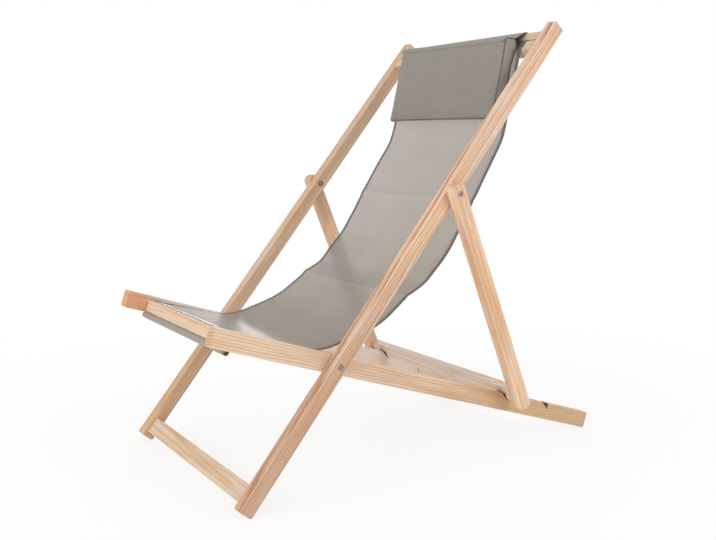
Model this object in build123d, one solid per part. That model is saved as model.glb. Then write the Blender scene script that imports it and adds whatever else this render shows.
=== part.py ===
"""Folding reclining chair: two crossing timber frames, a prop frame and a fabric sling with a head pillow.

Lengths are in millimetres. X runs across the chair, the sitter faces -Y and Z is up.
The floor is Z = 0 and the centre of the chair's outline is X = Y = 0.
The back frame leans back from its feet, the seat frame crosses it at the seat pivots, and the
prop frame hangs from the back frame and stands in notches of the seat frame.
"""
from build123d import *
from math import atan, atan2, cos, degrees, hypot, radians, sin
import os

# sizes of the frames
overall_width = 580
rail_width = 25
back_length = 1150
back_depth = 30
seat_length = 970
seat_depth = 36
prop_depth = 30

# where the frames cross, as distances along the rails
foot_to_seat_pivot = 312
foot_to_prop_pivot = 715
rear_to_seat_pivot = 716
open_angle = 69

# easing of the rails
end_radius = 4
long_edge_radius = 2
prop_end_radius = 13
floor_flat = 0.6

# notches in the top edges of the seat rails
first_notch = 133
notch_pitch = 63
notch_total = 3
notch_depth = 12
notch_ramp = 17.5

# crossbars between the back rails
foot_bar_start = 12
foot_bar_depth = 35
foot_bar_setback = 8
lower_bar_start = 1074
lower_bar_depth = 26
sling_slot = 3
upper_bar_depth = 21
top_bar_thickness = 22
bar_edge_radius = 1.5

# crossbars between the seat rails
front_bar_setback = 48
front_bar_thickness = 12
slot_bar_thickness = 20
front_bar_drop = 9
front_bar_height = 25
rear_bar_start = 120
rear_bar_width = 30
rear_bar_drop = 13

# crossbar between the prop legs
prop_bar_height = 30
prop_bar_overhang = 4
prop_bar_rest = 2
prop_foot_tail = 13
prop_head = 20
saddle_clearance = 0.5
saddle_side_clearance = 1

# hidden dowels in the frame joints
dowel_radius = 3
dowel_reach = 15
dowel_pitch_share = 0.5

# pivot hardware
bolt_radius = 3
head_radius = 5
head_thickness = 2
hex_key_across = 4
hex_key_depth = 1.4
nut_across = 10
nut_height = 5
nut_recess = 5.5
washer_radius = 9
washer_thickness = 0.9
running_clearance = 0.05
face_clearance = 0.1
nut_recess_clearance = 1

# fabric
sling_side_gap = 7
sling_thickness = 1.2
sling_dowel_radius = 5
pocket_clearance = 0.3
cloth_clearance = 0.3
slot_turn_radius = 1.3
bar_turn_radius = 2
front_pocket_shift = 14
sling_end_inset = 6
# corners of the sling's hanging line, along and below the chord from its front bar to its head bar
sling_corner_shares = ((0.122, 0.176), (0.264, 0.24), (0.439, 0.253), (0.523, 0.246), (0.821, 0.139))
# turn radii at those corners, as shares of the chord
sling_turn_shares = (0.11, 0.17, 0.2, 0.2, 0.12)

# head pillow
pillow_inset = 1
pillow_height = 166
pillow_edge_thickness = 31
pillow_front_crown = 9
pillow_back_crown = 5
pillow_edge_bow = 4
pillow_corner_radius = 5
pillow_below = 62
# stations across the pillow from its middle, with its height and crown there
pillow_station_shares = ((0, 1, 1), (0.4, 0.995, 0.9), (0.8, 0.98, 0.5), (1, 0.965, 0.12))
flap_inset = 5
flap_thickness = 1.6
flap_hang = 40
flap_turn_radius = 6

# derived positions across the chair
leg_outer = overall_width / 2
leg_inner = leg_outer - rail_width
washer_gap = washer_thickness + face_clearance
back_outer = leg_inner - washer_gap
back_inner = back_outer - rail_width
seat_outer = back_inner - washer_gap
seat_inner = seat_outer - rail_width
sling_width = 2 * (seat_inner - sling_side_gap)
pillow_width = sling_width - 2 * pillow_inset
flap_width = pillow_width - 2 * flap_inset

# derived tilt of the two frames: both stand on the floor with their lowest rounded corners
half_back = back_depth / 2
half_seat = seat_depth / 2
half_prop = prop_depth / 2
turn = radians(open_angle)
back_reach = foot_to_seat_pivot - end_radius
seat_reach = rear_to_seat_pivot - end_radius
back_tilt = atan(
    (seat_reach * sin(turn) + (half_seat - end_radius) * cos(turn) - (half_back - end_radius))
    / (back_reach + seat_reach * cos(turn) - (half_seat - end_radius) * sin(turn))
)
seat_tilt = turn - back_tilt
seat_front_reach = seat_length - rear_to_seat_pivot

rear_extent = seat_reach * cos(seat_tilt) + (half_seat - end_radius) * sin(seat_tilt) + end_radius
front_extent = (
    (seat_front_reach - end_radius) * cos(seat_tilt) + (half_seat - end_radius) * sin(seat_tilt) + end_radius
)
pivot_y = (front_extent - rear_extent) / 2
pivot_z = back_reach * sin(back_tilt) + (half_back - end_radius) * cos(back_tilt) + end_radius - floor_flat

across = (1, 0, 0)
# the back frame's own axes: Y up the rails from the seat pivots, Z out of their front faces
back_plane = Plane(origin=(0, pivot_y, pivot_z), x_dir=across, z_dir=(0, -sin(back_tilt), cos(back_tilt)))
# the seat frame's own axes: Y down to its rear end from the seat pivots, Z out of its top faces
seat_plane = Plane(origin=(0, pivot_y, pivot_z), x_dir=across, z_dir=(0, sin(seat_tilt), cos(seat_tilt)))


def side_view(plane, y, z):
    """point of a frame's own side view as its Y and Z in the chair"""
    point = plane.from_local_coords(Vector(0, y, z))
    return point.Y, point.Z


# derived prop: from its pivots on the back rails to the foremost notch of the seat rails
prop_pivot_along = foot_to_prop_pivot - foot_to_seat_pivot
prop_y, prop_z = side_view(back_plane, prop_pivot_along, 0)
notch_walls = tuple(rear_to_seat_pivot - first_notch - notch_pitch * index for index in range(notch_total))
notch_floor = half_seat - notch_depth
rest_y, rest_z = side_view(seat_plane, min(notch_walls) - prop_bar_rest, notch_floor + prop_bar_rest)
prop_span = hypot(rest_y - prop_y, rest_z - prop_z)
prop_bar_end = (prop_span**2 - prop_bar_overhang**2) ** 0.5
prop_tilt = atan2(prop_z - rest_z, rest_y - prop_y) - atan2(prop_bar_overhang, prop_bar_end)
prop_leg_end = prop_bar_end + prop_foot_tail
# the prop frame's own axes: Y down the legs from their pivots, Z out of their rear faces
prop_plane = Plane(origin=(0, prop_y, prop_z), x_dir=across, z_dir=(0, sin(prop_tilt), cos(prop_tilt)))

# derived crossbar positions in the frames' own axes
back_foot = -foot_to_seat_pivot
back_top = back_foot + back_length
foot_bar_y = back_foot + foot_bar_start
foot_bar_front = half_back - foot_bar_setback
lower_bar_y = back_foot + lower_bar_start
lower_bar_end = lower_bar_y + lower_bar_depth
head_slot_y = lower_bar_end + sling_slot / 2
upper_bar_y = lower_bar_end + sling_slot
upper_bar_end = upper_bar_y + upper_bar_depth
top_bar_rear = half_back - top_bar_thickness
front_bar_y = front_bar_setback - seat_front_reach
front_bar_end = front_bar_y + front_bar_thickness
seat_slot_y = front_bar_end + sling_slot / 2
slot_bar_y = front_bar_end + sling_slot
slot_bar_end = slot_bar_y + slot_bar_thickness
front_bar_top = half_seat - front_bar_drop
front_bar_bottom = front_bar_top - front_bar_height
rear_bar_end = rear_to_seat_pivot - rear_bar_start
rear_bar_y = rear_bar_end - rear_bar_width
rear_bar_top = half_seat - rear_bar_drop
prop_bar_start = prop_bar_end - prop_bar_height
quarter_turn = 90


def block(x0, x1, y0, y1, z0, z1):
    """box between two opposite corners"""
    return Pos((x0 + x1) / 2, (y0 + y1) / 2, (z0 + z1) / 2) * Box(abs(x1 - x0), abs(y1 - y0), abs(z1 - z0))


def rod(radius, x0, x1, y, z):
    """round bar across the chair"""
    return Pos((x0 + x1) / 2, y, z) * Cylinder(radius, abs(x1 - x0), rotation=(0, quarter_turn, 0))


def rail(x0, x1, y0, y1, half_depth, corner):
    """rail along Y with rounded corners in side view and eased edges all round its two sides"""
    solid = block(x0, x1, y0, y1, -half_depth, half_depth)
    solid = fillet(solid.edges().filter_by(Axis.X), corner)
    sides = solid.faces().filter_by(Axis.X)
    return fillet(sides.edges(), long_edge_radius)


def crossbar(half_width, y0, y1, z0, z1):
    """bar across the chair with eased long edges"""
    solid = block(-half_width, half_width, y0, y1, z0, z1)
    return fillet(solid.edges().filter_by(Axis.X), bar_edge_radius)


def both(x):
    """the same distance to the left and to the right of the middle"""
    return x, -x


def dowel_centres(y0, y1, z0, z1):
    """two dowel centres spread over the longer side of a crossbar's section"""
    y, z = (y0 + y1) / 2, (z0 + z1) / 2
    step_y = (y1 - y0) * dowel_pitch_share / 2 if y1 - y0 >= z1 - z0 else 0
    step_z = 0 if step_y else (z1 - z0) * dowel_pitch_share / 2
    return (y - step_y, z - step_z), (y + step_y, z + step_z)


def dowels(joint_x, centres):
    """dowels that stand half in a crossbar's end and half in the rail beside it, on both sides"""
    return [
        rod(dowel_radius, joint - dowel_reach, joint + dowel_reach, y, z)
        for joint in both(joint_x)
        for y, z in centres
    ]


def drill(solid, tools):
    """solid with every tool taken out of it"""
    for tool in tools:
        solid = solid - tool
    return solid


def on_floor(solid):
    """solid with the sliver below the floor planed off"""
    size = back_length * 2
    return solid - Pos(0, 0, -size / 2) * Box(size, size, size)


# dowels of each frame in its own axes
foot_bar_dowels = dowels(back_inner, dowel_centres(foot_bar_y, foot_bar_y + foot_bar_depth, -half_back, foot_bar_front))
lower_bar_dowels = dowels(back_inner, dowel_centres(lower_bar_y, lower_bar_end, top_bar_rear, half_back))
upper_bar_dowels = dowels(back_inner, dowel_centres(upper_bar_y, upper_bar_end, top_bar_rear, half_back)[:1])
front_bar_dowels = dowels(seat_inner, dowel_centres(front_bar_y, front_bar_end, front_bar_bottom, front_bar_top))
slot_bar_dowels = dowels(seat_inner, dowel_centres(slot_bar_y, slot_bar_end, front_bar_bottom, front_bar_top))
rear_bar_dowels = dowels(seat_inner, dowel_centres(rear_bar_y, rear_bar_end, -half_seat, rear_bar_top))
prop_bar_dowels = dowels(leg_inner, dowel_centres(prop_bar_start, prop_bar_end, -prop_bar_overhang, half_prop))


# pivot hardware: bolt heads on the outer faces, nuts in recesses of the inner faces
seat_nut_face = seat_inner + nut_recess - face_clearance - nut_height
prop_nut_face = back_inner + nut_recess - nut_height


def hexagon(across_flats, x0, x1, y, z):
    """six-sided prism across the chair"""
    sketch = RegularPolygon(across_flats / 2, side_count=6, major_radius=False)
    return Pos(min(x0, x1), y, z) * extrude(Plane.YZ * sketch, abs(x1 - x0))


def bolt(outer, inner, y):
    """flat-headed bolt with a key socket, from an outer face in to its nut's face"""
    under_head = outer - head_thickness
    solid = rod(bolt_radius, inner, under_head, y, 0) + rod(head_radius, under_head, outer, y, 0)
    return solid - hexagon(hex_key_across, outer - hex_key_depth, outer, y, 0)


def nut(face, y):
    """hexagonal nut whose outer side stands at the given face"""
    end = face + nut_height
    return hexagon(nut_across, face, end, y, 0) - rod(bolt_radius + running_clearance, face, end, y, 0)


def washer(start, y):
    """plain washer that fills the gap between two frames"""
    end = start + washer_thickness
    return rod(washer_radius, start, end, y, 0) - rod(bolt_radius + running_clearance, start, end, y, 0)


def mirrored(solid):
    """the same solid on the right side of the chair"""
    return mirror(solid, about=Plane.YZ)


def back_rail():
    """left rail of the back frame, drilled for its dowels and both pivots"""
    solid = rail(back_inner, back_outer, back_foot, back_top, half_back, end_radius)
    solid = drill(solid, foot_bar_dowels + lower_bar_dowels + upper_bar_dowels)
    for y in (0, prop_pivot_along):
        solid -= rod(bolt_radius, back_inner, back_outer, y, 0)
    solid -= rod(head_radius + nut_recess_clearance, back_outer - head_thickness, back_outer, 0, 0)
    recess = nut_across / 2 + nut_recess_clearance * 2
    solid -= rod(recess, back_inner, back_inner + nut_recess, prop_pivot_along, 0)
    return on_floor(back_plane.location * solid)


def seat_rail():
    """left rail of the seat frame, notched along its top edge for the prop's crossbar"""
    solid = rail(seat_inner, seat_outer, -seat_front_reach, rear_to_seat_pivot, half_seat, end_radius)
    for wall in notch_walls:
        outline = Polyline(
            (wall, notch_floor), (wall - notch_ramp, half_seat), (wall - notch_ramp, seat_depth),
            (wall, seat_depth), close=True,
        )
        notch = extrude(Plane.YZ * make_face(outline), rail_width)
        solid -= Pos(seat_inner, 0, 0) * notch
    solid = drill(solid, front_bar_dowels + slot_bar_dowels + rear_bar_dowels)
    solid -= rod(bolt_radius + running_clearance, seat_inner, seat_outer, 0, 0)
    recess = nut_across / 2 + nut_recess_clearance * 2
    solid -= rod(recess, seat_inner, seat_inner + nut_recess, 0, 0)
    return on_floor(seat_plane.location * solid)


def prop_leg():
    """left leg of the prop frame, hung on the outside of the back rail"""
    solid = rail(leg_inner, leg_outer, -prop_head, prop_leg_end, half_prop, prop_end_radius)
    solid = drill(solid, prop_bar_dowels)
    solid -= rod(bolt_radius + running_clearance, leg_inner, leg_outer, 0, 0)
    counterbore = head_thickness + face_clearance
    solid -= rod(head_radius + nut_recess_clearance, leg_outer - counterbore, leg_outer, 0, 0)
    return prop_plane.location * solid


def back_crossbar(y0, y1, z0, z1, pins):
    """crossbar between the back rails"""
    return back_plane.location * drill(crossbar(back_inner, y0, y1, z0, z1), pins)


def seat_crossbar(y0, y1, z0, z1, pins):
    """crossbar between the seat rails"""
    return seat_plane.location * drill(crossbar(seat_inner, y0, y1, z0, z1), pins)


def prop_bar():
    """crossbar between the prop legs, cut back where it passes over the seat rails"""
    solid = crossbar(leg_inner, prop_bar_start, prop_bar_end, -prop_bar_overhang, half_prop)
    solid = prop_plane.location * drill(solid, prop_bar_dowels)
    cut_inner = seat_inner - saddle_side_clearance
    cut_outer = seat_outer + saddle_side_clearance
    saddle = block(cut_inner, cut_outer, 0, rear_to_seat_pivot, 0, half_seat + saddle_clearance)
    saddle = seat_plane.location * saddle
    return solid - saddle - mirrored(saddle)


def sling_corner(chord_start, chord_end, shares):
    """corner of the sling's line, given along the chord and below it as shares of its length"""
    along, below = shares
    run_y, run_z = chord_end[0] - chord_start[0], chord_end[1] - chord_start[1]
    return chord_start[0] + along * run_y + below * run_z, chord_start[1] + along * run_z - below * run_y


# the sling's line in side view, half its thickness and a clearance off the wood
cloth_offset = cloth_clearance + sling_thickness / 2
pocket_inner_radius = sling_dowel_radius + pocket_clearance
pocket_outer_radius = pocket_inner_radius + sling_thickness
pocket_seam_reach = (pocket_inner_radius + pocket_outer_radius) / 2 * cos(radians(quarter_turn / 2))
front_dowel_z = front_bar_bottom - cloth_clearance - pocket_outer_radius
head_dowel_z = top_bar_rear - cloth_clearance - pocket_outer_radius
front_pocket_y = seat_slot_y - front_pocket_shift
front_pocket = side_view(seat_plane, front_pocket_y, front_dowel_z)
head_pocket = side_view(back_plane, head_slot_y, head_dowel_z)
chord_start = side_view(seat_plane, seat_slot_y, front_bar_top + cloth_offset)
chord_end = side_view(back_plane, lower_bar_y, half_back + cloth_offset)
chord = hypot(chord_end[0] - chord_start[0], chord_end[1] - chord_start[1])
sling_corners = [sling_corner(chord_start, chord_end, shares) for shares in sling_corner_shares]
sling_turns = [share * chord for share in sling_turn_shares]


def across_cloth(face, width):
    """face drawn in side view, carried out to both sides of the middle"""
    return extrude(Plane.YZ * face, width / 2, both=True)


def sling():
    """cloth from the pocket under the front bars, over the seat and back, to the pocket behind the head bars"""
    line = FilletPolyline(
        side_view(seat_plane, front_pocket_y + pocket_seam_reach, front_dowel_z + pocket_seam_reach),
        side_view(seat_plane, seat_slot_y, front_bar_bottom - cloth_offset),
        chord_start,
        side_view(seat_plane, slot_bar_end + bar_turn_radius, front_bar_top + cloth_offset),
        *sling_corners,
        chord_end,
        side_view(back_plane, head_slot_y, half_back + cloth_offset),
        head_pocket,
        radius=[
            slot_turn_radius, slot_turn_radius, bar_turn_radius, *sling_turns, bar_turn_radius, slot_turn_radius,
        ],
    )
    face = trace(line, sling_thickness)
    for centre in (front_pocket, head_pocket):
        face += Pos(*centre) * Circle(pocket_outer_radius)
    for centre in (front_pocket, head_pocket):
        face -= Pos(*centre) * Circle(pocket_inner_radius)
    return across_cloth(face, sling_width)


def sling_dowel(centre):
    """round rod in one of the sling's pockets"""
    end = sling_width / 2 - sling_end_inset
    return rod(sling_dowel_radius, -end, end, *centre)


# the pillow's own axes: X across, Y up along the sling behind it, Z to the front
pillow_rise = atan2(chord_end[1] - sling_corners[-1][1], chord_end[0] - sling_corners[-1][0])
pillow_offset = cloth_offset + pillow_back_crown + cloth_clearance
pillow_plane = Plane(
    origin=(
        0,
        chord_end[0] - pillow_offset * sin(pillow_rise) - pillow_below * cos(pillow_rise),
        chord_end[1] + pillow_offset * cos(pillow_rise) - pillow_below * sin(pillow_rise),
    ),
    x_dir=across,
    z_dir=(0, -sin(pillow_rise), cos(pillow_rise)),
)


def pillow_section(station, height_share, crown_share):
    """closed outline of four shallow arcs at one station across the pillow"""
    half = pillow_height * height_share / 2
    bow = pillow_edge_bow * crown_share
    thick = pillow_edge_thickness
    outline = (
        ThreePointArc((-half, 0), (0, -pillow_back_crown * crown_share), (half, 0))
        + ThreePointArc((half, 0), (half + bow, thick / 2), (half, thick))
        + ThreePointArc((half, thick), (0, thick + pillow_front_crown * crown_share), (-half, thick))
        + ThreePointArc((-half, thick), (-half - bow, thick / 2), (-half, 0))
    )
    return Pos(station * pillow_width / 2, 0, 0) * (Plane.YZ * make_face(outline))


def head_pillow():
    """boxed cushion, fullest in its middle and drawn in towards its two ends"""
    stations = [(-share, *rest) for share, *rest in reversed(pillow_station_shares[1:])]
    stations += list(pillow_station_shares)
    solid = loft([pillow_section(*station) for station in stations])
    solid = fillet(solid.edges().filter_by(GeomType.LINE, reverse=True), pillow_corner_radius)
    return pillow_plane.location * solid


def pillow_flap():
    """cloth from the pillow's top over the head bars, hanging down behind them"""
    offset = cloth_clearance + flap_thickness / 2
    top = pillow_height / 2 + pillow_edge_bow + offset
    hang_y = head_pocket[0] + pocket_outer_radius + offset
    bar_front = side_view(back_plane, upper_bar_end + offset, half_back + offset)
    bar_rear = side_view(back_plane, upper_bar_end + offset, top_bar_rear - offset)
    line = FilletPolyline(
        side_view(pillow_plane, top, pillow_edge_thickness / 2),
        side_view(pillow_plane, top, 0),
        bar_front,
        bar_rear,
        (hang_y, head_pocket[1] + pocket_outer_radius),
        (hang_y, bar_rear[1] - flap_hang),
        radius=[flap_turn_radius, bar_turn_radius, bar_turn_radius, flap_turn_radius],
    )
    return across_cloth(trace(line, flap_thickness), flap_width)


def framed(plane, solids):
    """loose solids of one frame, moved from its own axes into the chair"""
    return Compound(children=[plane.location * solid for solid in solids])


def pair(solid):
    """left and right copies of one fastener"""
    return [solid, mirrored(solid)]


nodes = {
    "back_rail_left": back_rail(),
    "back_rail_right": mirrored(back_rail()),
    "foot_bar": back_crossbar(
        foot_bar_y, foot_bar_y + foot_bar_depth, -half_back, foot_bar_front, foot_bar_dowels
    ),
    "top_bar_lower": back_crossbar(lower_bar_y, lower_bar_end, top_bar_rear, half_back, lower_bar_dowels),
    "top_bar_upper": back_crossbar(upper_bar_y, upper_bar_end, top_bar_rear, half_back, upper_bar_dowels),
    "back_frame_dowels": framed(back_plane, foot_bar_dowels + lower_bar_dowels + upper_bar_dowels),
    "seat_rail_left": seat_rail(),
    "seat_rail_right": mirrored(seat_rail()),
    "front_bar": seat_crossbar(
        front_bar_y, front_bar_end, front_bar_bottom, front_bar_top, front_bar_dowels
    ),
    "slot_bar": seat_crossbar(slot_bar_y, slot_bar_end, front_bar_bottom, front_bar_top, slot_bar_dowels),
    "rear_bar": seat_crossbar(rear_bar_y, rear_bar_end, -half_seat, rear_bar_top, rear_bar_dowels),
    "seat_frame_dowels": framed(seat_plane, front_bar_dowels + slot_bar_dowels + rear_bar_dowels),
    "prop_leg_left": prop_leg(),
    "prop_leg_right": mirrored(prop_leg()),
    "prop_bar": prop_bar(),
    "prop_frame_dowels": framed(prop_plane, prop_bar_dowels),
    "seat_pivot_bolts": framed(back_plane, pair(bolt(back_outer, seat_nut_face, 0))),
    "seat_pivot_nuts": framed(back_plane, pair(nut(seat_nut_face, 0))),
    "seat_pivot_washers": framed(back_plane, pair(washer(back_inner - washer_thickness, 0))),
    "prop_pivot_bolts": framed(back_plane, pair(bolt(leg_outer, prop_nut_face, prop_pivot_along))),
    "prop_pivot_nuts": framed(back_plane, pair(nut(prop_nut_face, prop_pivot_along))),
    "prop_pivot_washers": framed(back_plane, pair(washer(back_outer, prop_pivot_along))),
    "sling": sling(),
    "sling_front_dowel": sling_dowel(front_pocket),
    "sling_head_dowel": sling_dowel(head_pocket),
    "head_pillow": head_pillow(),
    "pillow_flap": pillow_flap(),
}

os.makedirs("parts", exist_ok=True)
for name, shape in nodes.items():
    export_step(shape, f"parts/{name}.step")
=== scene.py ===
"""Looks of a folding reclining chair: pale timber frames, a woven sling and a boxed head pillow.

Lengths are in metres, except inside the finishes, which measure in millimetres.
X runs across the chair, the sitter faces -Y and Z is up.
"""
import bmesh
import bpy
import numpy as np
from collections import namedtuple
from functools import partial, partialmethod
from math import cos, pi, radians, sin
from mathutils import Matrix, Vector


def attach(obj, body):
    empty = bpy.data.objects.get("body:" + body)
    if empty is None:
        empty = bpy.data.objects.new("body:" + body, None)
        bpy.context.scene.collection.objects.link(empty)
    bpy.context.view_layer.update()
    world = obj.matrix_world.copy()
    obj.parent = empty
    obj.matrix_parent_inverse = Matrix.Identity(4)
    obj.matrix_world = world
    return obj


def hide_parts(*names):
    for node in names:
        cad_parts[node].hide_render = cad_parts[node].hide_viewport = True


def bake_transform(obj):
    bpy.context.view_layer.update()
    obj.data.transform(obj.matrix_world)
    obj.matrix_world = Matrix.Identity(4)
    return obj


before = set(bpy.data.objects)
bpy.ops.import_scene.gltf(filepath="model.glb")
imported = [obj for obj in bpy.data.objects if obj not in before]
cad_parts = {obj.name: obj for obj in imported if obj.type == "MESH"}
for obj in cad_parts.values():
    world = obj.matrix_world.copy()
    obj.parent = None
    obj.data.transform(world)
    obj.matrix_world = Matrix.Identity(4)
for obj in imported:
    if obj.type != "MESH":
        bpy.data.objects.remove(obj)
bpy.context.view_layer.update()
scene = bpy.context.scene
MM = 0.001

# the frames' own axes in side view: their pivots, and how far their rails lean
BACK_TILT = radians(50.13549)
SEAT_TILT = radians(18.86451)
PROP_TILT = radians(68.24350)
SEAT_PIVOT = np.array((-0.218592, 0.246860))
PROP_PIVOT = np.array((0.039721, 0.556188))


# ---- camera

def photo_camera():
    """Camera at the photograph's place: its three axes are the columns of its turn."""
    right = Vector((0.54239104, 0.84009168, -0.00761074))
    up = Vector((-0.11985684, 0.08634357, 0.98902939))
    ahead = Vector((-0.8315325, 0.53552848, -0.14752272))
    data = bpy.data.cameras.new("photo_camera")
    data.sensor_width = 36.0
    data.lens = 44.319
    data.clip_start, data.clip_end = 0.05, 200.0
    camera = bpy.data.objects.new("photo_camera", data)
    scene.collection.objects.link(camera)
    turn = Matrix((right, up, -ahead)).transposed().to_4x4()
    camera.matrix_world = Matrix.Translation((1.60665, -1.04437, 0.66293)) @ turn
    scene.camera = camera


photo_camera()


# ---- shapes as arrays

def unit(v):
    """Vectors brought to length 1."""
    return v / np.linalg.norm(v, axis=-1, keepdims=True)


def ease(t):
    """0 to 1 along 3t^2 - 2t^3, level at both ends."""
    t = np.clip(t, 0.0, 1.0)
    return t * t * (3.0 - 2.0 * t)


def side_point(tilt, along, out):
    """Point in side view: the seat pivot + along (cos tilt, sin tilt) + out (-sin tilt, cos tilt)."""
    turned = (along * cos(tilt) - out * sin(tilt), along * sin(tilt) + out * cos(tilt))
    return SEAT_PIVOT + np.stack(turned, -1)


back_side, seat_side = partial(side_point, BACK_TILT), partial(side_point, -SEAT_TILT)


def distance_along(path):
    """Running length of a path of points, starting at 0."""
    steps = np.linalg.norm(np.diff(path, axis=0), axis=1)
    return np.concatenate(([0.0], np.cumsum(steps)))


def read_off(at, run, line):
    """Points of a line at distances along it, straight between its own."""
    return np.stack([np.interp(at, run, column) for column in line.T], -1)


def evenly(path, spacing):
    """The path again with points at an even spacing."""
    run = distance_along(path)
    return read_off(np.linspace(0.0, run[-1], int(run[-1] / spacing) + 1), run, path)


def running_mean(values, window, edges="edge"):
    """Each column evened by a running mean, weighted by a window of odd length."""
    half = len(window) // 2
    padded = np.pad(values, ((half, half), (0, 0)), edges)
    return np.stack([np.convolve(column, window / window.sum(), "valid") for column in padded.T], -1)


def full_turn(count):
    """Angles round a full turn in even steps."""
    return np.linspace(0.0, 2.0 * pi, count, endpoint=False)


def squarish(angle, power):
    """cos and sin of an angle, drawn towards a square by a power below 1."""
    return [np.sign(part) * np.abs(part) ** power for part in (np.cos(angle), np.sin(angle))]


ARC_POINTS = 24


def corner_arc(before, corner, after, radius):
    """Arc that touches both runs at a corner.

    Its centre lies on the corner's bisector at radius / sin(half the corner's angle), and its
    points are centre + radius (cos, sin) from one touching point round to the other.
    """
    inward, outward = unit(before - corner), unit(after - corner)
    half = np.arccos(np.clip(np.dot(inward, outward), -1.0, 1.0)) / 2.0
    centre = corner + unit(inward + outward) * radius / np.sin(half)
    first = corner + inward * radius / np.tan(half) - centre
    last = corner + outward * radius / np.tan(half) - centre
    start = np.arctan2(first[1], first[0])
    sweep = (np.arctan2(last[1], last[0]) - start + pi) % (2.0 * pi) - pi
    angle = start + sweep * np.linspace(0.0, 1.0, ARC_POINTS)
    return centre + radius * np.stack((np.cos(angle), np.sin(angle)), -1)


def rounded_line(corners, radii):
    """Straight runs between corners, with an arc at each inner corner."""
    corners = np.asarray(corners, float)
    arcs = [corner_arc(*trio, radius)
            for *trio, radius in zip(corners[:-2], corners[1:-1], corners[2:], radii)]
    return np.concatenate([corners[:1], *arcs, corners[-1:]])


def facing(path):
    """Direction to the left of a side path: its tangent turned a quarter, (-tz, ty)."""
    tangent = unit(np.gradient(path, axis=0))
    return np.stack((-tangent[:, 1], tangent[:, 0]), -1)


def smooth(mesh):
    """Shades a mesh smoothly."""
    mesh.polygons.foreach_set("use_smooth", np.ones(len(mesh.polygons), bool))


def make_piece(name, points, faces, uv=None):
    """Smooth object at the origin from points and faces, with uv given for each point."""
    mesh = bpy.data.meshes.new(name)
    mesh.from_pydata(points.reshape(-1, 3).tolist(), [], [list(f) for f in faces])
    mesh.update()
    if uv is not None:
        corners = np.empty(len(mesh.loops), np.int32)
        mesh.loops.foreach_get("vertex_index", corners)
        layer = mesh.uv_layers.new(name="cloth")
        layer.data.foreach_set("uv", uv.reshape(-1, 2)[corners].astype(np.float32).ravel())
    smooth(mesh)
    piece = bpy.data.objects.new(name, mesh)
    scene.collection.objects.link(piece)
    return piece


def grid_faces(rows, columns, closed_across=False):
    """Quads (r, c), (r, c + 1), (r + 1, c + 1), (r + 1, c) of a grid; its last column may meet its first."""
    index = np.arange(rows * columns).reshape(rows, columns)
    if closed_across:
        index = np.concatenate((index, index[:, :1]), axis=1)
    return np.stack((index[:-1, :-1], index[:-1, 1:], index[1:, 1:], index[1:, :-1]), -1).reshape(-1, 4)


def closed_sweep(name, rings, uv=None):
    """Closed solid through a row of rings (rows, points, 3), with a flat face at each end."""
    rows, count = rings.shape[:2]
    faces = grid_faces(rows, count, closed_across=True).tolist()
    faces += [list(range(count))[::-1], list(range((rows - 1) * count, rows * count))]
    return faced_out(make_piece(name, rings, faces, uv))


def faced_out(piece):
    """Turns a closed mesh's faces outwards."""
    work = bmesh.new()
    work.from_mesh(piece.data)
    bmesh.ops.recalc_face_normals(work, faces=work.faces)
    work.to_mesh(piece.data)
    work.free()
    return piece


def cloth_sheet(name, points, across, along, thickness):
    """Sheet through a grid of points, half its thickness on each side, with uv across and along it."""
    uv = np.stack(np.broadcast_arrays(across, along[:, None]), -1)
    piece = make_piece(name, points, grid_faces(along.size, across.size), uv)
    wall = piece.modifiers.new("thickness", "SOLIDIFY")
    wall.thickness = thickness
    wall.offset = 0.0
    return piece


def mesh_vectors(piece, what="co"):
    """Places of a piece's points, or their normals."""
    found = np.empty(len(piece.data.vertices) * 3)
    piece.data.vertices.foreach_get(what, found)
    return found.reshape(-1, 3)


def move_points(piece, points):
    """Puts a piece's points at new places."""
    piece.data.vertices.foreach_set("co", points.ravel())
    piece.data.update()


def stitches(name, seats, ahead, out, length, width, height):
    """One thread stitch per seat: six-sided lozenges laid along the seam and half sunk in it.

    With t along the stitch from -1 to 1 and angle a round it, a point is
    seat + ahead t length/2 + side cos a width/2 r + out sin a height/2 r, where r = sqrt(1 - t^2).
    """
    t = np.array((-1.0, -0.62, 0.0, 0.62, 1.0))[:, None]
    r = np.sqrt(np.clip(1.0 - t * t, 0.02, 1.0))
    sides = 6
    angle = full_turn(sides)
    ways = ((ahead, t * length), (np.cross(ahead, out), r * np.cos(angle) * width),
            (out, r * np.sin(angle) * height))
    points = seats[:, None, None] + sum(way[:, None, None] * (size / 2.0)[..., None] for way, size in ways)
    each = t.size * sides
    first = np.arange(len(seats))[:, None, None] * each
    walls = grid_faces(t.size, sides, closed_across=True) + first
    caps = np.stack((np.arange(sides)[::-1], np.arange(each - sides, each))) + first
    return make_piece(name, points, walls.reshape(-1, 4).tolist() + caps.reshape(-1, sides).tolist())


# ---- finishes

WHITE = (1.0, 1.0, 1.0, 1.0)


def paint(red, green, blue):
    """A colour given as it is seen on a screen, 0 to 255, as the linear colour of a shader."""
    seen = np.array((red, green, blue)) / 255.0
    linear = np.where(seen <= 0.04045, seen / 12.92, ((seen + 0.055) / 1.055) ** 2.4)
    return (*linear.tolist(), 1.0)


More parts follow.
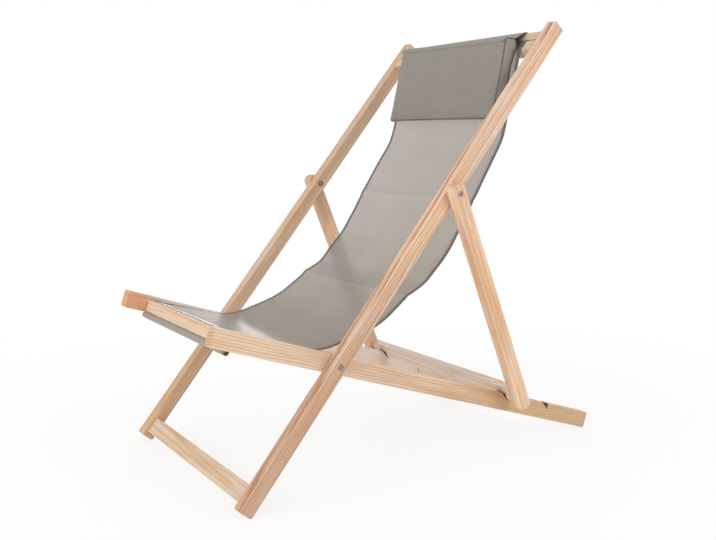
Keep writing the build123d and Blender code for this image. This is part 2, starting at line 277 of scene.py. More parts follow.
class Varying:
    """A node's output. Arithmetic on one that holds numbers adds Math nodes."""

    def __init__(self, finish, socket):
        self.finish, self.socket = finish, socket

    def math(self, operation, *others):
        values = dict(enumerate((self, *others)))
        return self.finish.add("ShaderNodeMath", {"operation": operation}, values)

    __add__ = __radd__ = partialmethod(math, "ADD")
    __mul__ = partialmethod(math, "MULTIPLY")
    __sub__ = partialmethod(math, "SUBTRACT")
    __truediv__ = partialmethod(math, "DIVIDE")
    __abs__ = partialmethod(math, "ABSOLUTE")

    def __rsub__(self, other):
        return (self * -1.0) + other

    def step(self, low, high):
        """0 below low and 1 above high, eased between."""
        return self.finish.add("ShaderNodeMapRange", {"interpolation_type": "SMOOTHSTEP"},
                               {"Value": self, "From Min": low, "From Max": high})


class Finish:
    """A procedural material, or the nodes of a world."""

    def __init__(self, name, holder=None):
        self.material = holder or bpy.data.materials.new(name)
        self.material.use_nodes = True
        self.tree = self.material.node_tree
        self.tree.nodes.clear()

    def add(self, kind, settings=None, inputs=None, output=0):
        """A node of any kind: its settings first, then its sockets' values or links."""
        node = self.tree.nodes.new(kind)
        for key, value in (settings or {}).items():
            setattr(node, key, value)
        for key, value in (inputs or {}).items():
            if isinstance(value, Varying):
                self.tree.links.new(value.socket, node.inputs[key])
            else:
                node.inputs[key].default_value = value
        return Varying(self, node.outputs[output])

    def place(self, location=(0.0, 0.0, 0.0), turn=0.0):
        """Object position in millimetres in a board's own axes: shifted, then turned about X."""
        spot = self.add("ShaderNodeTexCoord", output="Object")
        spot = self.add("ShaderNodeMapping", {"vector_type": "TEXTURE"},
                        {"Vector": spot, "Location": location, "Rotation": (turn, 0.0, 0.0)})
        return self.vector("SCALE", {0: spot, "Scale": 1.0 / MM})

    def cloth_place(self):
        """The cloth's own coordinates in millimetres: across it, along it."""
        return self.vector("SCALE", {0: self.add("ShaderNodeTexCoord", output="UV"), "Scale": 1.0 / MM})

    def vector(self, operation, inputs):
        """A vector sum or product."""
        return self.add("ShaderNodeVectorMath", {"operation": operation}, inputs)

    def parts(self, vector):
        """The three numbers of a vector."""
        first = self.add("ShaderNodeSeparateXYZ", inputs={0: vector})
        return [Varying(self, output) for output in first.socket.node.outputs]

    def join(self, x, y, z):
        """A vector of three numbers."""
        return self.add("ShaderNodeCombineXYZ", inputs={0: x, 1: y, 2: z})

    def noise(self, vector, sizes, detail=2.0, rough=0.5):
        """Smooth noise, about 0 to 1, of about a size in each direction."""
        spot = self.vector("MULTIPLY", {0: vector, 1: tuple(1.0 / size for size in sizes)})
        return self.add("ShaderNodeTexNoise", {}, {"Vector": spot, "Scale": 1.0, "Detail": detail,
                                                   "Roughness": rough})

    def ramp(self, number, stops):
        """A level for a number from 0 to 1, straight between stops of place and level."""
        found = self.add("ShaderNodeValToRGB", inputs={0: number})
        elements = found.socket.node.color_ramp.elements
        while len(elements) < len(stops):
            elements.new(0.5)
        for element, (place, level) in zip(elements, stops):
            element.position = place
            element.color = (level, level, level, 1.0)
        return found

    def own_number(self, count):
        """A steady random number, 0 to 1, for each whole number."""
        return self.add("ShaderNodeTexWhiteNoise", {"noise_dimensions": "1D"}, {"W": count})

    def mix(self, factor, first, second, blend="MIX"):
        """Two colours mixed by a factor."""
        return self.add("ShaderNodeMix", {"data_type": "RGBA", "blend_type": blend},
                        {0: factor, 6: first, 7: second}, output=2)

    def lit(self, colour, light):
        """A colour made lighter or darker by a factor."""
        return self.mix(1.0, colour, self.join(light, light, light), "MULTIPLY")

    def bump(self, height, depth, strength):
        """Normal from a height; the height's 1 stands for a depth in metres."""
        return self.add("ShaderNodeBump", {}, {"Height": height, "Distance": depth, "Strength": strength})

    def principled(self, colour, rough, normal, more=()):
        """The standard surface, with more of its inputs by name."""
        inputs = {"Base Color": colour, "Roughness": rough, "Normal": normal, **dict(more)}
        return self.add("ShaderNodeBsdfPrincipled", {}, inputs)

    def ray(self, kind):
        """1 for light rays of one kind."""
        path = self.add("ShaderNodeLightPath")
        return Varying(self, path.socket.node.outputs[kind])

    def eye(self):
        """1 for rays that look at the background, straight, mirrored or through the cloth."""
        through = self.ray("Is Transmission Ray") * (1.0 - self.ray("Is Diffuse Ray"))
        return (self.ray("Is Camera Ray") + self.ray("Is Glossy Ray") + through).math("MINIMUM", 1.0)

    def close(self, surface, kind="ShaderNodeOutputMaterial"):
        """The finished material, or world."""
        output = self.tree.nodes.new(kind)
        self.tree.links.new(surface.socket, output.inputs["Surface"])
        return self.material


# What one board is like: where it lies in its frame's axes and how it was sawn. centre and half
# are its middle and half sizes across the grain (mm), ends its two ends along it. heart is where
# the tree's heart lies from its middle, drift how far the grain leaves the board's line per
# length, ring the mean width of a year's growth, bands how dark its lines are. swirl is its
# silvery figure, and rosy and flames how much it is blushed and streaked orange. stain gives two
# places along it, an amount and a colour that it turns to between them.
Board = namedtuple("Board", "centre half ends heart drift ring bands warmth shade seed"
                            " notches swirl stain rosy flames", defaults=((), 0.0, None, 0.6, 0.0))

PALE_WOOD = paint(232, 206, 178)
ROSY_WOOD = paint(218, 188, 166)
WARM_WOOD = paint(214, 174, 134)
AMBER_WOOD = paint(206, 148, 104)
SILVER_WOOD = paint(226, 212, 202)
FLAME_WOOD = paint(228, 168, 122)
OCHRE_WOOD = paint(200, 160, 112)
DUSKY_WOOD = paint(152, 116, 92)
LINE_WOOD = paint(168, 118, 84)
DEEP_WOOD = paint(132, 82, 50)
PORE_WOOD = paint(128, 84, 56)

# how dark a year's wood is, from its first at 0 to its last at 1
YEAR = ((0.0, 0.85), (0.08, 1.0), (0.24, 0.42), (0.45, 0.12), (0.80, 0.0), (0.93, 0.3), (1.0, 0.85))
# how far the grain wanders (mm), slowly and quickly; the years' unevenness and its size (mm)
SLOW_WANDER, QUICK_WANDER, UNEVEN, UNEVEN_SIZE = 14.0, 2.2, 1.7, 11.0
# the noises: sizes across, along and deep (mm), detail, roughness and a shift of their own
HERE = (0.0, 0.0, 0.0)
TIMBER_NOISES = {
    "slow": ((42.0, 330.0, 42.0), 2.0, 0.5, HERE),
    "quick": ((9.0, 70.0, 9.0), 2.0, 0.5, HERE),
    "fade": ((16.0, 150.0, 16.0), 2.0, 0.5, (7.0, 43.0, 61.0)),
    "fibre": ((0.9, 60.0, 0.9), 2.0, 0.6, HERE),
    "pore": ((0.55, 7.0, 0.55), 1.0, 0.5, HERE),
    "patch": ((26.0, 260.0, 26.0), 3.0, 0.5, (91.0, 17.0, 5.0)),
    "blush": ((34.0, 420.0, 34.0), 1.0, 0.5, (3.0, 71.0, 29.0)),
    "swirl": ((15.0, 62.0, 15.0), 3.0, 0.6, (47.0, 9.0, 83.0)),
    "flames": ((7.0, 85.0, 9.0), 3.0, 0.6, (19.0, 67.0, 31.0)),
    "speckle": ((0.8, 3.0, 0.8), 2.0, 0.5, HERE),
    "shade": ((60.0, 500.0, 60.0), 1.0, 0.5, HERE),
}
SEED_STEP = (37.0, 211.0, 53.0)
CUT_REACH = 1.2


def timber(name, origin, turn, board, crosswise):
    """Planed ring-porous timber with its grain along the board.

    A year ring is a cylinder round the tree's heart: ring number = distance from the heart over
    the ring's width, made uneven by noise. Each ring starts with a narrow dark line of open
    pores, drawn out along the grain, and is smooth and pale after it.
    """
    wood = Finish(name)
    x, y, z = wood.parts(wood.place((0.0, float(origin[0]), float(origin[1])), turn))
    across, along, depth = (y, x, z) if crosswise else (x, y, z)
    a, d = across - board.centre[0], depth - board.centre[1]
    grain = wood.join(a, along, d)

    def noise(kind):
        """One of the timber's noises, at a place of the board's own."""
        sizes, detail, rough, own = TIMBER_NOISES[kind]
        shift = tuple(step * board.seed + more for step, more in zip(SEED_STEP, own))
        return wood.noise(wood.vector("ADD", {0: grain, 1: shift}), sizes, detail, rough)

    # distance from the tree's heart, with slow and quick wander
    ha = a - board.heart[0] - along * board.drift[0]
    hd = d - board.heart[1] - along * board.drift[1]
    reach = ((ha * ha + hd * hd).math("SQRT") + (noise("slow") - 0.5) * SLOW_WANDER
             + (noise("quick") - 0.5) * QUICK_WANDER)
    uneven = wood.noise(wood.join(reach, 0.37 + board.seed, 0.0), (UNEVEN_SIZE, 1.0, 1.0), 1.0) - 0.5
    count = reach / board.ring + uneven * UNEVEN
    line = wood.ramp(count.math("FRACT"), YEAR)
    each = wood.own_number((count + 0.10).math("FLOOR"))
    band = line * (each * 0.55 + 0.45) * (noise("fade").step(0.28, 0.62) * 0.6 + 0.4) * board.bands

    # fibres, pores and broad patches of colour
    fibre = noise("fibre")
    pore = noise("pore").step(0.56, 0.70) * (line * 0.9 + 0.10)
    patch = noise("patch").step(0.72 - board.warmth * 0.5, 0.98 - board.warmth * 0.42)
    colour = wood.mix(patch, PALE_WOOD, WARM_WOOD)
    colour = wood.mix(noise("blush").step(0.36, 0.62) * board.rosy, colour, ROSY_WOOD)
    if board.swirl:
        colour = wood.mix(noise("swirl").step(0.32, 0.54) * board.swirl, colour, SILVER_WOOD)
    if board.flames:
        colour = wood.mix(noise("flames").step(0.50, 0.70) * board.flames, colour, FLAME_WOOD)
    if board.stain:
        start, finish, amount, tone = board.stain
        colour = wood.mix(along.step(start, finish) * amount, colour, tone)
    colour = wood.mix((band * 0.62).math("MINIMUM", 0.92), colour, LINE_WOOD)
    colour = wood.mix(fibre.step(0.54, 0.8) * 0.22, colour, LINE_WOOD)
    colour = wood.mix(pore * 0.40, colour, PORE_WOOD)

    # long edges, a little paler where the plane took them off
    inside = board.half[0] - abs(a) + (board.half[1] - abs(d))
    colour = wood.mix((1.0 - inside.step(0.4, 3.4)) * 0.28, colour, PALE_WOOD)

    # end grain is darker; the notches' cut faces are painted dark, partly their own end grain and partly
    # painted shade in the notch
    low, high = board.ends
    end = (abs(along - (low + high) / 2.0) - (high - low) / 2.0).step(-2.6, -0.4)
    end_grain = wood.mix(line * 0.7, WARM_WOOD, DEEP_WOOD)
    colour = wood.mix(end * (noise("speckle") * 0.5 + 0.45), colour, end_grain)
    for wall, length, top, cut in board.notches:
        ramp = abs(d - (top - cut) - (wall - along) * (cut / length)).math("LESS_THAN", CUT_REACH)
        within = (along.math("GREATER_THAN", wall - length - 1.0) * along.math("LESS_THAN", wall + 0.6)
                  * d.math("GREATER_THAN", top - cut - CUT_REACH))
        steep = abs(along - wall).math("LESS_THAN", 0.8)
        # the notches' ramps and steep walls: darker end grain plus painted shade in the notch
        colour = wood.mix(within * ramp.math("MAXIMUM", steep) * 0.8, colour, DEEP_WOOD)
    # brightness: a broad random tone times the board's shade, which on the boards seen across the chair is
    # partly painted light
    colour = wood.lit(colour, (noise("shade") - 0.5) * 0.10 + board.shade)

    normal = wood.bump(band * 0.25 + fibre * 0.5 - pore * 0.8, 0.00012, 0.7)
    rough = 0.56 + fibre * 0.16 - band * 0.05
    return wood.close(wood.principled(colour, rough, normal, {"Specular IOR Level": 0.35}))


def plated_steel(name):
    """Zinc-plated steel: a bright grey with a faint yellow cast, fine turning marks and smudges."""
    steel = Finish(name)
    place = steel.place()
    smudge = steel.noise(place, (3.0, 3.0, 3.0), 3.0)
    normal = steel.bump(steel.noise(place, (0.15, 1.4, 1.4)), 0.00003, 0.5)
    colour = steel.mix(smudge.step(0.35, 0.7), paint(172, 168, 160), paint(112, 107, 98))
    return steel.close(steel.principled(colour, 0.30 + smudge * 0.22, normal, {"Metallic": 1.0}))


def turned_wood(name):
    """Pale turned rod: fibres along X with faint turning rings."""
    wood = Finish(name)
    place = wood.place()
    fibre = wood.noise(place, (45.0, 0.9, 0.9), 3.0, 0.6)
    rings = wood.noise(place, (0.7, 40.0, 40.0), 1.0)
    broad = wood.noise(place, (120.0, 6.0, 6.0)).step(0.35, 0.7)
    colour = wood.mix(broad, paint(231, 204, 168), paint(212, 172, 126))
    colour = wood.mix(fibre.step(0.5, 0.8) * 0.5, colour, paint(176, 128, 84))
    return wood.close(wood.principled(colour, 0.5 + fibre * 0.2, wood.bump(fibre + rings * 0.4, 0.0001, 0.7)))


POCKET_PAINTED_LIGHT = 0.13
FOLD_RUB_AND_SHADE = 0.12
CLOTH_RELIEF = 0.00018


def woven(name, warp_tone, weft_tone, thread=0.9, glow=0.0, turn=None, folds=(), pocket=None):
    """Plain-woven cloth of two greys; glow is the share of light that comes through it.

    Its threads follow its uv, or with a turn the object's X and its Z turned about X. Their heights
    are |sin|: where sin(across) sin(along) is above 0 the warp lies on top, otherwise the weft.
    A packing fold, at one of folds in millimetres along it, is pale just before it, partly rubbed
    and partly painted light, and has painted shade just behind it.
    Up to pocket it is a rod's pocket, which lets no light through and is a little paler: painted light.
    """
    cloth = Finish(name)
    if turn is None:
        place = cloth.cloth_place()
        x, y, _ = cloth.parts(place)
    else:
        place = cloth.place(turn=turn)
        x, _, y = cloth.parts(place)
    wave_x, wave_y = ((way * (pi / thread)).math("SINE") for way in (x, y))
    on_top = (wave_x * wave_y).step(-0.12, 0.12)
    below = 1.0 - on_top
    height = abs(wave_x) * on_top + abs(wave_y) * below
    warp_own = cloth.own_number((x / thread).math("FLOOR"))
    weft_own = cloth.own_number((y / thread).math("FLOOR") + 3000.5)
    slub = cloth.noise(place, (1.6, 38.0, 38.0)) + cloth.noise(place, (38.0, 1.6, 1.6))
    broad = cloth.noise(place, (85.0, 110.0, 85.0), 3.0)
    lint = cloth.noise(place, (2.4, 2.4, 2.4), 3.0, 0.7)

    own = (warp_own - 0.5) * on_top + (weft_own - 0.5) * below
    # the yarns' own uneven tones, with the threads' crowns painted lighter and the hollows between them
    # painted darker, as painted shade of the weave
    light = (1.0 + own * 0.10 + (slub - 1.0) * 0.16 + (broad - 0.5) * 0.16 + (lint - 0.5) * 0.07
             + (height - 0.6) * 0.14)
    # each fold: a pale band before it, partly rubbed and partly painted light, and painted shade behind it
    for fold in folds:
        light = light + (1.0 - abs(y - fold + 3.0).step(0.5, 5.0)) * FOLD_RUB_AND_SHADE
        light = light - (1.0 - abs(y - fold - 5.0).step(1.0, 9.0)) * FOLD_RUB_AND_SHADE
    # the pocket: no light through it, and painted light that makes it a little paler
    if pocket:
        free = y.step(pocket, pocket + 10.0)
        light, glow = light + (1.0 - free) * POCKET_PAINTED_LIGHT, free * glow
    colour = cloth.lit(cloth.mix(on_top, weft_tone, warp_tone), light)
    normal = cloth.bump(height + slub * 0.4, CLOTH_RELIEF, 0.8)
    face = cloth.principled(colour, 0.58 + lint * 0.14, normal, {
        "Specular IOR Level": 0.42, "Sheen Weight": 0.12, "Sheen Roughness": 0.5})
    if not glow:
        return cloth.close(face)
    through = cloth.add("ShaderNodeBsdfTranslucent", {}, {"Color": paint(229, 226, 221), "Normal": normal})
    return cloth.close(cloth.add("ShaderNodeMixShader", {}, {0: glow, 1: face, 2: through}))


def thread(name, tone):
    """Sewing thread: fine slanted strands and a slight gloss."""
    yarn = Finish(name)
    strand = yarn.noise(yarn.place(), (0.5, 0.5, 0.5))
    colour = yarn.mix(strand.step(0.3, 0.7), tone, paint(92, 88, 82))
    return yarn.close(yarn.principled(colour, 0.5 + strand * 0.2, yarn.bump(strand, 0.0001, 0.6)))


# ---- timber frames and hardware

RAIL_X, SEAT_RAIL_X, LEG_X = 251.5, 225.5, 277.5
NOTCHES = tuple((wall, 17.5, 18.0, 12.0) for wall in (583.0, 520.0, 457.0))

# middle, half sizes, ends, heart, drift, ring, bands, warmth, shade, seed and what sets it apart
# shade is a board's brightness: its own tone, and on seat_rail_right, prop_leg_right, rear_bar and prop_bar
# partly painted light
back_boards = {
    "back_rail_left": Board(
        (RAIL_X, 0), (12.5, 15), (-312, 838), (12, -62), (0.010, 0.018), 5.0, 3.0, 0.8, 1.15, 1.3,
        rosy=0.75, flames=0.55, stain=(360.0, -40.0, 0.46, DUSKY_WOOD), swirl=0.2),
    "back_rail_right": Board(
        (-RAIL_X, 0), (12.5, 15), (-312, 838), (34, 30), (-0.012, 0.014), 6.4, 1.2, 0.85, 0.99, 4.7,
        rosy=0.7, flames=0.45),
}
back_bars = {
    "foot_bar": Board(
        (-282.5, -4), (17.5, 11), (-239, 239), (30, -44), (0.01, 0.02), 5.0, 0.7, 0.6, 0.97, 2.1),
    "top_bar_lower": Board(
        (775, 4), (13, 11), (-239, 239), (-20, 60), (0.02, 0.0), 4.6, 0.8, 0.6, 0.97, 7.9),
    "top_bar_upper": Board(
        (801.5, 4), (10.5, 11), (-239, 239), (25, 38), (0.0, 0.02), 4.4, 0.9, 0.6, 0.97, 3.4),
}
seat_boards = {
    "seat_rail_left": Board(
        (SEAT_RAIL_X, 0), (12.5, 18), (-254, 716), (-9, 170), (0.0, 0.004), 5.2, 1.25, 0.5, 1.0, 5.2,
        NOTCHES, rosy=0.3, stain=(230.0, 420.0, 0.62, OCHRE_WOOD)),
    "seat_rail_right": Board(
        (-SEAT_RAIL_X, 0), (12.5, 18), (-254, 716), (40, 60), (0.01, 0.01), 6.4, 0.6, 0.4, 1.07, 8.8,
        NOTCHES, swirl=0.95, stain=(-150.0, -225.0, 0.9, AMBER_WOOD)),
}
seat_bars = {
    "front_bar": Board(
        (-200, -3.5), (6, 12.5), (-213, 213), (60, -40), (0.0, 0.02), 5.6, 0.5, 0.5, 0.97, 6.3),
    "slot_bar": Board(
        (-181, -3.5), (10, 12.5), (-213, 213), (45, 50), (0.02, 0.0), 4.8, 0.7, 0.5, 0.98, 9.1),
    "rear_bar": Board(
        (581, -6.5), (15, 11.5), (-213, 213), (-40, 55), (0.0, 0.01), 4.8, 0.9, 0.6, 1.15, 2.8, swirl=0.9),
}
prop_boards = {
    "prop_leg_left": Board(
        (LEG_X, 0), (12.5, 15), (-20, 494.7), (-34, 40), (0.03, 0.03), 9.5, 0.68, 0.8, 1.07, 3.9,
        rosy=0.1, flames=0.75, swirl=0.1),
    "prop_leg_right": Board(
        (-LEG_X, 0), (12.5, 15), (-20, 494.7), (28, 42), (0.02, -0.02), 5.6, 0.9, 0.85, 1.05, 6.6,
        flames=0.3),
}
prop_bars = {
    "prop_bar": Board(
        (466.7, 5.5), (15, 9.5), (-265, 265), (40, 42), (0.01, 0.015), 5.2, 0.8, 0.5, 1.15, 1.8, swirl=0.85),
}


def dress(node, material):
    """Gives a CAD node its finish in every slot."""
    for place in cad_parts[node].material_slots:
        place.link = "OBJECT"
        place.material = material


for rails, bars, origin, turn in (
        (back_boards, back_bars, SEAT_PIVOT, BACK_TILT), (seat_boards, seat_bars, SEAT_PIVOT, -SEAT_TILT),
        (prop_boards, prop_bars, PROP_PIVOT, -PROP_TILT)):
    for node, board in {**rails, **bars}.items():
        dress(node, timber(f"timber_{node}", origin, turn, board, crosswise=node in bars))

rod_wood, bolt_steel = turned_wood("turned_rod"), plated_steel("plated_steel")
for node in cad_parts:
    if "dowel" in node:
        dress(node, rod_wood)
    elif "pivot" in node:
        dress(node, bolt_steel)


# ---- sling

SLING_WIDTH = 0.412
SLING_THICKNESS = 0.0012
POCKET_RADIUS = 0.0059
FRONT_POCKET = (-0.2065, -0.0228)
HEAD_POCKET = (0.7895, -0.0138)
# corners of its hanging line in side view, and the radii of the turns there
SLING_CORNERS = ((-0.2255, 0.2670), (-0.0990, 0.2994), (0.0225, 0.3825), (0.0739, 0.4311), (0.2131, 0.6572))
SLING_TURNS = (0.0922, 0.1426, 0.1677, 0.1677, 0.1006)
# where it leaves the slot bar and reaches the lower head bar, in their frames' axes
SLOT_EDGE, HEAD_EDGE = (-0.1690, 0.0099), (0.7620, 0.0159)


def pocket_turn(side, centre, first, last):
    """Cloth round a pocket's rod: centre + radius (cos a, sin a) from one angle to the other."""
    angle = np.radians(np.linspace(first, last, 60))
    return side(centre[0] + POCKET_RADIUS * np.cos(angle), centre[1] + POCKET_RADIUS * np.sin(angle))


def sling_path():
    """Side line of the whole cloth: round the front rod, up the slot, over the seat and back, down
    the head slot and round the head rod. A running mean evens its free span, which starts 89 mm
    from the front rod and ends 120 mm from the head rod."""
    hanging = evenly(rounded_line(
        (seat_side(-0.2065, -0.0169), seat_side(-0.1925, -0.0169), seat_side(-0.1925, 0.0099),
         seat_side(*SLOT_EDGE), *SLING_CORNERS, back_side(*HEAD_EDGE), back_side(0.7895, 0.0159),
         back_side(0.7895, -0.0079), back_side(0.7925, -0.0079)),
        (0.0013, 0.0013, 0.0020, *SLING_TURNS, 0.0020, 0.0013, 0.0013)), 0.0006)
    run = distance_along(hanging)
    free = ease((run - 0.089) / 0.04) * ease((run[-1] - 0.120 - run) / 0.04)
    hanging = hanging + (running_mean(hanging, np.hanning(121)) - hanging) * free[:, None]
    front = pocket_turn(seat_side, FRONT_POCKET, 48.0, -270.0)
    head = pocket_turn(back_side, HEAD_POCKET, 70.0, -256.0)
    return evenly(np.concatenate((front, hanging[2:-3], head)), 0.0004)


PATH = sling_path()
PATH_RUN = distance_along(PATH)
PATH_OUT = facing(PATH)
SLING_LENGTH = float(PATH_RUN[-1])


def run_at(point):
    """Distance along the sling's line of the point on it nearest to a side point."""
    return float(PATH_RUN[np.linalg.norm(PATH - np.asarray(point), axis=1).argmin()])


SPAN_START = run_at(seat_side(*SLOT_EDGE))
SPAN_END = run_at(back_side(*HEAD_EDGE))
LOW_CREASE = run_at((-0.026, 0.353))
HIGH_CREASE = run_at((0.137, 0.536))


def waves(x, v, seed, length, count=7):
    """Gentle unevenness: the mean of sines in seeded directions, with waves of about one length."""
    rng = np.random.default_rng(seed)
    total = np.zeros(np.broadcast(x, v).shape)
    for turn, stretch, phase in zip(rng.uniform(0, pi, count), rng.uniform(0.7, 1.5, count),
                                    rng.uniform(0, 2 * pi, count)):
        total = total + np.sin(2 * pi * (x * cos(turn) + v * sin(turn)) / (length * stretch) + phase)
    return total / count


def span_of(v):
    """0 to 1 over the cloth's free span, from v along it."""
    return np.clip((v - SPAN_START) / (SPAN_END - SPAN_START), 0.0, 1.0)


# how far its features stand from its line
SAG, TILT, SET_BACK, LOW_RIDGE, LOW_DIP, HIGH_RIDGE = 0.0040, 0.0016, 0.0075, 0.0036, 0.0040, 0.0022
LONG_WAVES, SHORT_WAVES, GATHERS = 0.0026, 0.0005, 0.0007


def sling_lift(x, v):
    """How far the cloth stands towards the sitter from its line.

    It sags between its edges by a parabola, lies further back along its right edge behind the
    pillow, keeps two sharp packing folds as exp(-|d|/w) ridges with a dip behind the lower one,
    waves gently, and ripples where the bars gather it.
    """
    s, span = 2.0 * x / SLING_WIDTH, span_of(v)
    free = np.sin(pi * span)
    low, high = v - LOW_CREASE, v - HIGH_CREASE
    lift = -SAG * (1.0 - s ** 2) * free ** 0.8 - TILT * free * s
    behind = ease((span - 0.70) / 0.14) * ease((1.0 - span) / 0.05)
    lift = lift - SET_BACK * behind * ease(0.10 - s)
    folded = LOW_RIDGE * np.exp(-np.abs(low) / 0.011) - LOW_DIP * np.exp(-((low - 0.046) / 0.026) ** 2)
    lift = lift + free * ((1.0 - 0.175 * s) * folded + HIGH_RIDGE * np.exp(-np.abs(high) / 0.010))
    lift = lift + free * (LONG_WAVES * waves(x, v, 3, 0.16) + SHORT_WAVES * waves(x, v, 5, 0.05))
    gather = np.exp(-span / 0.05) + np.exp(-(1.0 - span) / 0.05)
    gather = gather * ease(span / 0.02) * ease((1.0 - span) / 0.02)
    return lift + gather * GATHERS * waves(x, v * 0.15, 11, 0.045)


def sling_spread(x, v):
    """Where a thread at x runs: a little wider at the front bar, and drawn to the left high up."""
    span = span_of(v)
    return x * (1.0 + 0.010 * (1.0 - ease(span / 0.25))) + 0.008 * ease((span - 0.30) / 0.70)


def sling_points(x, v, out=0.0):
    """Points of the cloth at x across it and v along it, and out beyond its middle layer."""
    x, v = np.broadcast_arrays(x, v)
    rise = (sling_lift(x, v) + out)[..., None]
    side = read_off(v, PATH_RUN, PATH) + read_off(v, PATH_RUN, PATH_OUT) * rise
    return np.concatenate((sling_spread(x, v)[..., None], side), -1)


def sling_rows():
    """Distances along the cloth for its mesh: close together at the rods and bars, wider between."""
    close, wide = 0.0012, 0.004
    first = np.arange(0.0, SPAN_START + 0.012, close)
    last = np.arange(SPAN_END - 0.006, SLING_LENGTH, close)
    between = np.linspace(first[-1], last[0], int((last[0] - first[-1]) / wide))
    return np.concatenate((first, between[1:-1], last, (SLING_LENGTH,)))


def sling_cloth():
    """The cloth as a grid of x across by v along."""
    v = sling_rows()
    x = np.linspace(-SLING_WIDTH / 2.0, SLING_WIDTH / 2.0, 101)
    return cloth_sheet("sling_cloth", sling_points(x, v[:, None]), x + SLING_WIDTH, v, SLING_THICKNESS)


def sling_binding(name, side):
    """Folded binding round one edge: a flat oval profile, width by thickness, carried along it."""
    width, thick = 0.0064, 0.0026
    close, wide = 0.0015, 0.004
    v = np.concatenate((np.arange(SPAN_START - 0.030, SPAN_START + 0.01, close),
                        np.arange(SPAN_START + 0.01, SPAN_END - 0.006, wide),
                        np.arange(SPAN_END - 0.006, SPAN_END + 0.052, close)))
    angle = full_turn(16)
    across, out = squarish(angle, 0.6)
    x = np.full_like(v, side * SLING_WIDTH / 2.0)
    edge = sling_points(x, v)
    away = unit(sling_points(x, v, 0.001) - edge)
    rings = edge[:, None] + away[:, None] * (out * thick / 2.0)[:, None]
    middle = sling_spread(x, v) + side * (0.0008 - width / 2.0)
    rings[..., 0] = middle[:, None] + across * width / 2.0
    return closed_sweep(name, rings, np.stack(np.broadcast_arrays(angle * 0.003, v[:, None]), -1))


def sling_stitching():
    """Two rows of stitches, one along each binding, on both faces of the cloth."""
    v = np.arange(SPAN_START + 0.004, SPAN_END - 0.004, 0.0042)
    rows = []
    for side, face in ((-1.0, -1.0), (-1.0, 1.0), (1.0, -1.0), (1.0, 1.0)):
        x = np.full_like(v, side * (SLING_WIDTH / 2.0 - 0.0078))
        rows.append((sling_points(x, v, face * 0.00065),
                     unit(sling_points(x, v + 0.001) - sling_points(x, v - 0.001)),
                     unit(sling_points(x, v, 0.001) - sling_points(x, v)) * face))
    seats, ahead, out = (np.concatenate(part) for part in zip(*rows))
    return stitches("sling_stitching", seats, ahead, out, length=0.0031, width=0.0008, height=0.0008)


sling_grey = woven("sling_canvas", paint(153, 146, 138), paint(141, 135, 127), glow=0.66,
                   folds=(LOW_CREASE / MM, HIGH_CREASE / MM), pocket=(SPAN_START - 0.016) / MM)
binding_grey = woven("binding_tape", paint(116, 111, 104), paint(102, 98, 92), 0.7)
thread_grey = thread("grey_thread", paint(128, 122, 114))

sling = sling_cloth()
bindings = [sling_binding("sling_binding_left", 1.0), sling_binding("sling_binding_right", -1.0)]
sling_seams = sling_stitching()
for piece, material in zip((sling, *bindings, sling_seams),
                           (sling_grey, binding_grey, binding_grey, thread_grey)):
    piece.data.materials.append(material)
    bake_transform(piece)
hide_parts("sling")


# ---- head pillow

PILLOW_RISE = radians(76.45431)
PILLOW_ORIGIN = np.array((0.0, 0.237077, 0.783111))
# its own axes: across, up its back face and out to its front
PILLOW_AXES = np.array(((1.0, 0.0, 0.0), (0.0, cos(PILLOW_RISE), sin(PILLOW_RISE)),
                        (0.0, -sin(PILLOW_RISE), cos(PILLOW_RISE))))
PILLOW_WIDTH, PILLOW_HEIGHT, PILLOW_THICKNESS = 0.410, 0.166, 0.031
FRONT_CROWN, BACK_CROWN = 0.009, 0.005
PANEL_CORNER, PANEL_POINTS = 0.012, 900


def pillow_points(across, up, out):
    """Chair points from the pillow's own axes."""
    return np.stack(np.broadcast_arrays(across, up, out), -1) @ PILLOW_AXES + PILLOW_ORIGIN


def own_axes(points):
    """Chair points in the pillow's own axes."""
    return (points - PILLOW_ORIGIN) @ PILLOW_AXES.T


# the sewn cover's reach in those axes, and how far its front panel hangs lower than its back
COVER_LOW, COVER_HIGH = np.array((-0.192, -0.0870, -0.0045)), np.array((0.2080, 0.0845, 0.0395))
COVER_HANG = 0.22

# how far the sling is drawn to the left there, and the gap kept above its face
DRAWN_LEFT, SKIN_GAP = 0.006, 0.0009


def upon_sling(points):
    """Chair points, with those that reach into the sling brought forward to just above it."""
    behind = slice(np.searchsorted(PATH_RUN, run_at(SLING_CORNERS[-1])),
                   np.searchsorted(PATH_RUN, run_at(back_side(0.7880, 0.0159))))
    line_y, line_z = PATH[behind].T
    x, y, z = points.T
    lift = sling_lift(x - DRAWN_LEFT, np.interp(z, line_z, PATH_RUN[behind]))
    gap = lift + SLING_THICKNESS / 2.0 + SKIN_GAP
    most = np.interp(z, line_z, line_y) - gap / sin(PILLOW_RISE)
    return np.stack((x, np.minimum(y, most), z), -1)


def settle(piece, low, high):
    """Brings a piece of the blown-up pillow to its measured reach, resting on the sling.

    Each axis is scaled from the cover's reach, low to high, to the wanted one.
    """
    own = COVER_LOW + (own_axes(mesh_vectors(piece)) - low) / (high - low) * (COVER_HIGH - COVER_LOW)
    move_points(piece, upon_sling(settled(*own.T)))
    return own


def settled(across, up, out):
    """Chair points of the settled pillow from its own axes.

    Its front hangs lower by a share of out. With t from 0 at its left end to 1 at its right, it
    hangs askew by 10.5 mm t, and thins and leans back on the sling: out (1 - 0.25 t) - 9 mm t.
    Its left end stands open, most at its back, and its front leans out at the top there.
    """
    near = ease((across - 0.120) / 0.080)
    out = out + near * ((out - 0.0165) * (0.22 + 0.42 * (1.0 - ease(out / 0.033)))
                        + 0.0045 * ease(up / 0.08) * ease(out / 0.033))
    t = (COVER_HIGH[0] - across) / (COVER_HIGH[0] - COVER_LOW[0])
    hang = up - COVER_HANG * out + t * (0.0105 + 0.04 * up)
    return pillow_points(across, hang, out * (1.0 - 0.25 * t) - 0.009 * t)


